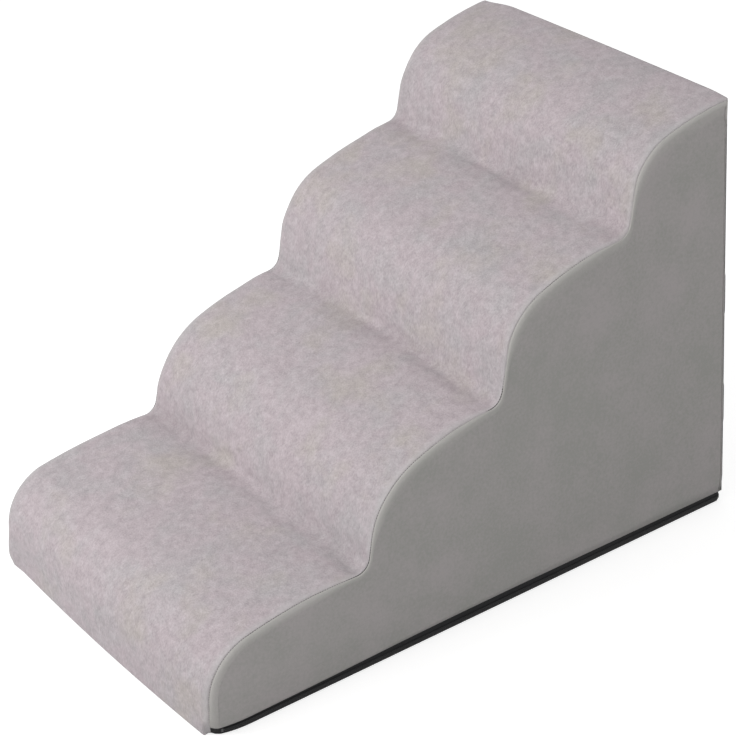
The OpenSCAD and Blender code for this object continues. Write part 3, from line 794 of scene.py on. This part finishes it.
# Back panel: the same woven cloth, sewn to the plush just below the top edge and to the side panels along
# the two upright corners. Its foot hangs on the zip, which draws it in.
back_rows, back_cells, back_swell = 120, (4.8 * mm, 4 * mm), 0.5 * mm
back_highlight_w, end_calm, back_gap, back_shares, back_columns = 12 * mm, 8, 0.2 * mm, (1, 0.5), 121
seam_z = stair_h - top_crown - top_lip_r - back_gap
back_zs = np.linspace(seam_z - woven_lip_r, rear_hem, back_rows)
back_line = upright_line(back_zs)
back_turn = seam_turn - (woven_lip_r + seam_gap / 2) / (edge_r * back_line["share"])
places, _, _ = seam_to_seam(back_line, back_turn, back_shares, back_columns, woven_lip_r)
top_folds = lip(places[0], np.array([0, 1, 0]), np.array([0, 0, 1]), woven_lip_r, 1)
waves = unevenness(back_rows, places.shape[1], back_cells, (60 * mm, 50 * mm), 31)
down = np.linspace(0, 1, back_rows)
calm = np.clip(down * end_calm, 0, 1) * np.clip(down[::-1] * end_calm, 0, 1)
places[..., 1] += calm[:, None] * back_swell * waves
places = np.concatenate([np.stack(top_folds[::-1]), places])
back = piece_from("woven_back", settle(places), grid_faces(*places.shape[:2]), woven)
x, _, z = places.reshape(-1, 3).T
set_attribute(back.data, "cloth_place", np.stack([x, z, 0 * x], 1))
# painted highlight near the upright back corners
set_attribute(back.data, "seam_near", highlight_all * fade(half_w - np.abs(x), back_highlight_w))
thicken(back, "cloth", cloth_t)
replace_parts(back, "back_panel")

# Base cloth: black coated cloth that closes the cover underneath. It is sewn to the foot of the plush in
# front and to the zip's lower tape on the other three sides.
base_z, base_t, base_inset, zip_z = 1.0 * mm, 0.8 * mm, 0.8 * mm, 6.1 * mm
front_turn, front_narrow, front_in = math.radians(28), 0.99, 2.6 * mm
sag_h, sag_l, sag_rim = 0.25 * mm, 38 * mm, 20 * mm
cut_margin, cut_step = 12 * mm, 15 * mm


def foot_line(depth, z, step=2 * mm):
    """The cover's plan at its foot, from its right front corner round the back to its left front one: evenly
    spaced places, and the length that has run at each. Above the zip it follows the back panel outwards."""
    front_y = -stair_l / 2 + zip_z / math.tan(math.radians(riser_slopes[0]))
    front_r, rear_r = edge_r * front_share, edge_r * back_share
    rear_y = -stair_l / 2 + float(back_y(max(z, zip_z)))
    corners = ((front_r, front_y + front_crown + front_r, -1, (front_turn, math.pi / 2)),
               (rear_r, rear_y - back_crown - rear_r, 1, (math.pi / 2, 0)))
    half = []
    for r, centre_y, way, turns in corners:
        for a in np.linspace(*turns, 12):
            half.append((half_w - r + (r - depth) * math.sin(a), centre_y + way * (r - depth) * math.cos(a)))
    for s in np.linspace(1, 0, 24)[1:]:
        half.append((s * (half_w - rear_r), rear_y - back_crown * s ** 2 - depth))
    half = np.array(half)
    line = np.concatenate([half, (half[:-1] * [-1, 1])[::-1]])
    run = run_of(line)
    at = np.linspace(0, run[-1], round(run[-1] / step) + 1)
    return np.column_stack([between(at, run, line), np.full(len(at), z)]), at


base_material = woven_material(
    "base_cloth", colour(24, 24, 26), colour(16, 16, 18), 0.8, 0.9, 0.2 * mm,
    Roughness=0.62, Specular_IOR_Level=0.4)
border, _ = foot_line(base_inset, base_z, step=6 * mm)
upright_foot = {key: value[1:2] for key, value in plush_line.items()}
front_edge = [cover_point(upright_foot, s, np.zeros(1))[0][0] for s in np.linspace(-1, 1, 41)]
front_edge = [(p[0] * front_narrow, p[1] + front_in, base_z) for p in front_edge]
cloth = bmesh.new()
cloth.faces.new([cloth.verts.new(p) for p in [*front_edge, *border]])
for axis, reach in ((0, half_w), (1, stair_l / 2)):
    cut_across(cloth, axis, np.arange(-reach + cut_margin, reach, cut_step))
base_mesh = bpy.data.meshes.new("base_cloth_sheet")
cloth.to_mesh(base_mesh)
cloth.free()
places = points_of(base_mesh)
set_attribute(base_mesh, "cloth_place", places * [1, 1, 0])
sag = sag_h * np.cos(places[:, 0] / sag_l * math.pi) * np.cos(places[:, 1] / sag_l * math.pi)
places[:, 2] -= sag * np.clip((half_w - np.abs(places[:, 0])) / sag_rim, 0, 1)
base_mesh.vertices.foreach_set("co", settle(places).ravel())
if base_mesh.polygons[0].normal.z > 0:
    base_mesh.flip_normals()
smooth(base_mesh)
base_mesh.materials.append(base_material)
base = placed("base_cloth_sheet", base_mesh)
thicken(base, "cloth", base_t)
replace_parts(base, "base_panel")

# Grip dots: low buttons of black rubber, moulded on the base cloth in an even grid, so that the stairs don't
# slide. Their rims are round, and their faces carry the fine grain of the mould.
dot_pitch, dot_rows, dot_lines = 76 * mm, 6, 10
dot_profile = [(6.0, 1.0), (5.95, 0.62), (5.7, 0.3), (5.2, 0.08), (4.4, 0.0), (2.2, 0.0)]
dot_sides = 28


def ring_faces(first, rings, sides, flip=False):
    """The faces between rings of points, whose first point has the given number."""
    faces = []
    for a in range(first, first + (rings - 1) * sides):
        b = a + 1 if (a - first + 1) % sides else a + 1 - sides
        faces.append([a, a + sides, b + sides, b] if flip else [a, b, b + sides, a + sides])
    return faces


def grained_material(
        name, grain, dark, light, reach=(0, 1), rough=None, rough_from=(0, 1), depth=None, **values):
    """A material whose colour, and where given its roughness and relief, follow one fine grain. grain is its
    scale and detail, and depth the strength and height of the relief."""
    material, tree, shader = new_material(name, **values)
    place = add_node(tree, "TexCoord").outputs["Object"]
    noise = add_node(tree, "TexNoise", place, Scale=grain[0], Detail=grain[1])
    set_inputs(tree, shader, Base_Color=two_tones(tree, noise, colour(*dark), colour(*light), reach))
    if rough:
        set_inputs(tree, shader, Roughness=mapped(tree, noise, *rough_from, *rough))
    if depth:
        set_inputs(tree, shader, Normal=relief(tree, noise, *depth))
    return material


points, faces = [], []
for i in range(dot_rows):
    for j in range(dot_lines):
        x, y = (i - (dot_rows - 1) / 2) * dot_pitch, (j - (dot_lines - 1) / 2) * dot_pitch
        first = len(points)
        for ring_r, ring_z in dot_profile:
            for a in np.arange(dot_sides) * 2 * math.pi / dot_sides:
                points.append((x + ring_r * mm * math.cos(a), y + ring_r * mm * math.sin(a), ring_z * mm))
        points.append((x, y, 0))
        faces += ring_faces(first, len(dot_profile), dot_sides, flip=True)
        rim = first + (len(dot_profile) - 1) * dot_sides
        faces += [[rim + k, len(points) - 1, rim + (k + 1) % dot_sides] for k in range(dot_sides)]
rubber = grained_material(
    "grip_rubber", (900.0, 2.0), (34, 34, 36), (46, 46, 48), rough=(0.5, 0.72), depth=(0.4, 0.1 * mm),
    Specular_IOR_Level=0.45)
dots = piece_from("rubber_grip_buttons", points, faces, rubber)
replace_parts(dots, "grip_dots")

# Zip tapes: two black woven tapes that run round the foot on three sides. The upper one is sewn behind the
# hem of the side and back panels, the lower one along the edge of the base cloth. Each is corded at its coil.
tape_depth, tape_t, tape_run = 1.9 * mm, 0.6 * mm, 2.06
tape_flat, bead = 0.12, (0.25, 0.0, -0.1, 0.0)
upper_bead, upper_tape_z = (6.2, 6.5, 6.9, 7.3), (7.7, 8.6, 9.6, 10.6, 13, 16, 20)
lower_tape_z, lower_bead = (2.1, 3.0, 4.5), (4.9, 5.3, 5.7, 6.0)


def zip_band(name, heights, node):
    """A tape as a strip round the foot, over a row of heights and their own depths in mm."""
    grid = [foot_line(tape_depth + more * mm, z * mm)[0] for z, more in heights]
    cut = np.min([len(g) for g in grid])
    grid = np.stack([g[np.round(np.linspace(0, len(g) - 1, cut)).astype(int)] for g in grid])
    made = piece_from(name, settle(grid), grid_faces(*grid.shape[:2]), tape_material)
    run, z = np.linspace(0, tape_run, cut)[None, :], np.array([z * mm for z, _ in heights])[:, None]
    set_attribute(made.data, "cloth_place", np.stack(np.broadcast_arrays(run, z, 0), -1).reshape(-1, 3))
    thicken(made, "tape", tape_t, 1)
    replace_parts(made, node)
    return made


tape_material = woven_material(
    "zip_tape", colour(22, 22, 24), colour(14, 14, 16), 0.9, 0.7, 0.25 * mm,
    Roughness=0.8, Specular_IOR_Level=0.3)
upper_heights = [*zip(upper_bead, bead), *((z, tape_flat) for z in upper_tape_z)]
upper_tape = zip_band("tape_sewn_to_sides", upper_heights, "zip_tape_upper")
lower_heights = [*((z, tape_flat) for z in lower_tape_z), *zip(lower_bead, bead[::-1])]
zip_band("tape_sewn_to_base", lower_heights, "zip_tape_lower")

# Zip coil: two rows of a black nylon filament, wound to teeth and sewn along the tapes, which mesh with each
# other. The stops are crimped metal at both ends of the rows.
tooth_pitch, tooth_w, tooth_h, tooth_side = 2.0 * mm, 0.75 * mm, 0.9 * mm, 0.28 / 0.55
coil_inset, end_gap = 0.6 * mm, 8 * mm
zip_start_y, zip_stop_y = -379.8 * mm, -375.1 * mm
coil_material = grained_material(
    "zip_coil", (120.0, 3.0), (12, 12, 13), (20, 20, 22), rough=(0.38, 0.6), Specular_IOR_Level=0.5)


def capped(first, rings, sides, flip=False):
    """The faces of a closed bar of rings of points."""
    last = first + (rings - 1) * sides
    ends = [list(range(first, first + sides))[::-1], list(range(last, last + sides))]
    return ring_faces(first, rings, sides, flip) + ([end[::-1] for end in ends] if flip else ends)


def coil_row(name, low, high, shift, node):
    """Teeth as short rounded bars, set side by side along the foot."""
    line, run = foot_line(coil_inset, 0)
    ways = np.gradient(line, axis=0)
    ways /= np.linalg.norm(ways, axis=1)[:, None]
    points, faces = [], []
    corners = [(u * tooth_w, v * tooth_h) for u, v in
               ((1, 0), (tooth_side, 1), (-tooth_side, 1), (-1, 0), (-tooth_side, -1), (tooth_side, -1))]
    rings = [(low, 0.45), (mix(low, high, 0.2), 1.0), (mix(low, high, 0.8), 1.0), (high, 0.45)]
    for at in np.arange(run[0] + end_gap + shift, run[-1] - end_gap, tooth_pitch):
        centre, way = between(at, run, line[:, :2]), between(at, run, ways[:, :2])
        if (centre[0] > 0 and centre[1] < zip_start_y) or (centre[0] < 0 and centre[1] < zip_stop_y):
            continue
        out = np.array([way[1], -way[0]])
        faces += capped(len(points), len(rings), len(corners))
        points += [(*(centre + share * (u * way + v * out)), z) for z, share in rings for u, v in corners]
    made = piece_from(name, settle(points), faces, coil_material)
    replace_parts(made, node)


coil_row("coil_on_upper_tape", 6.25 * mm, 8.45 * mm, 0, "zip_coil_upper")
coil_row("coil_on_lower_tape", 3.75 * mm, 5.95 * mm, tooth_pitch / 2, "zip_coil_lower")

enamel = grained_material(
    "black_enamel", (260.0, 4.0), (21, 21, 23), (56, 56, 58), reach=(0.55, 0.8), rough=(0.28, 0.5),
    rough_from=(0.3, 0.7), Metallic=0.0, Coat_Weight=0.25, Coat_Roughness=0.2)
stop_edge, slider_edge, sharp_turn = 0.12 * mm, 0.2 * mm, math.radians(35)


def pressed_metal(name, node, body, edge, settled=False):
    """A small die-cast or pressed part with its edges broken."""
    mesh, shape = solid_copy(name, node, enamel)
    bmesh.ops.dissolve_limit(shape, angle_limit=math.radians(1), verts=shape.verts, edges=shape.edges)
    sharp = [e for e in shape.edges if e.is_manifold and e.calc_face_angle(0) > sharp_turn]
    bmesh.ops.bevel(
        shape, geom=sharp, offset=edge, segments=2, profile=0.5, affect="EDGES", clamp_overlap=True)
    shape.to_mesh(mesh)
    shape.free()
    if settled:
        mesh.vertices.foreach_set("co", settle(points_of(mesh)).ravel())
    smooth(mesh)
    mesh.set_sharp_from_angle(angle=sharp_turn)
    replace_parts(placed(name, mesh, body), node)


pressed_metal("crimped_top_stops", "zip_top_stops", "stairs", stop_edge, settled=True)
pressed_metal("crimped_bottom_stop", "zip_bottom_stop", "stairs", stop_edge, settled=True)

# Slider and pull tab: a die-cast slider, enamelled black, that is parked at the left front end of the zip,
# and a flat pull tab that hangs in its bow and lies along the closed zip.
pressed_metal("slider_casting", "zip_slider", "zip_slider", slider_edge)
pressed_metal("pull_tab_pressing", "pull_tab", "pull_tab", slider_edge)

# Seams: the plush, the sides and the back are sewn together from the wrong side. What shows is a narrow
# groove with a thread deep in it, one small stitch after the other. The thread is dark grey, partly
# as painted shade of the groove.
thread_r, stitch_l, stitch_pitch, deep = 0.55 * mm, 3.2 * mm, 3.3 * mm, 0.35 * mm
thread_sides, seam_end = 6, 3 * mm
# The thread's dark grey is partly painted shade of the groove it lies in.
thread_and_shade = grained_material(
    "seam_thread_and_shade", (700.0, 2.0), (40, 38, 38), (62, 60, 60), depth=(0.5, 0.1 * mm),
    Roughness=0.8, Specular_IOR_Level=0.3)


def stitch_row(name, place, outward):
    """Stitches as short rounded rods along a line of places with their outward directions."""
    run = run_of(place)
    points, faces = [], []
    rings = [(0, 0.35), (0.12, 0.9), (0.5, 1.0), (0.88, 0.9), (1, 0.35)]
    for at in np.arange(stitch_pitch / 2, run[-1] - stitch_pitch / 2, stitch_pitch):
        start, end = between(at + np.array([-stitch_l / 2, stitch_l / 2]), run, place)
        out = between(at, run, outward)
        side = np.cross(end - start, out)
        side /= np.linalg.norm(side)
        faces += capped(len(points), len(rings), thread_sides, flip=True)
        for share, wide in rings:
            centre = mix(start, end, share) - out * (1 - wide) * thread_r
            for a in np.arange(thread_sides) * 2 * math.pi / thread_sides:
                points.append(centre + wide * thread_r * (math.cos(a) * side + math.sin(a) * out))
    piece_from(name, settle(points), faces, thread_and_shade)


steps_line, _ = spaced(steps_outline(seam_end), plush_step)
steps_line = line_of(steps_line[steps_line[:, 0] < stair_l - seam_end])
corner_line = {key: value[upper_count + 1:] for key, value in side_line.items()}
for word, side in (("right", 1), ("left", -1)):
    for name, line in (("step_stitches_", steps_line), ("back_stitches_", corner_line)):
        place, outward, _ = cover_point(line, side, seam_turn)
        outward = outward / np.linalg.norm(outward, axis=-1, keepdims=True)
        stitch_row(name + word, place - deep * outward, outward)
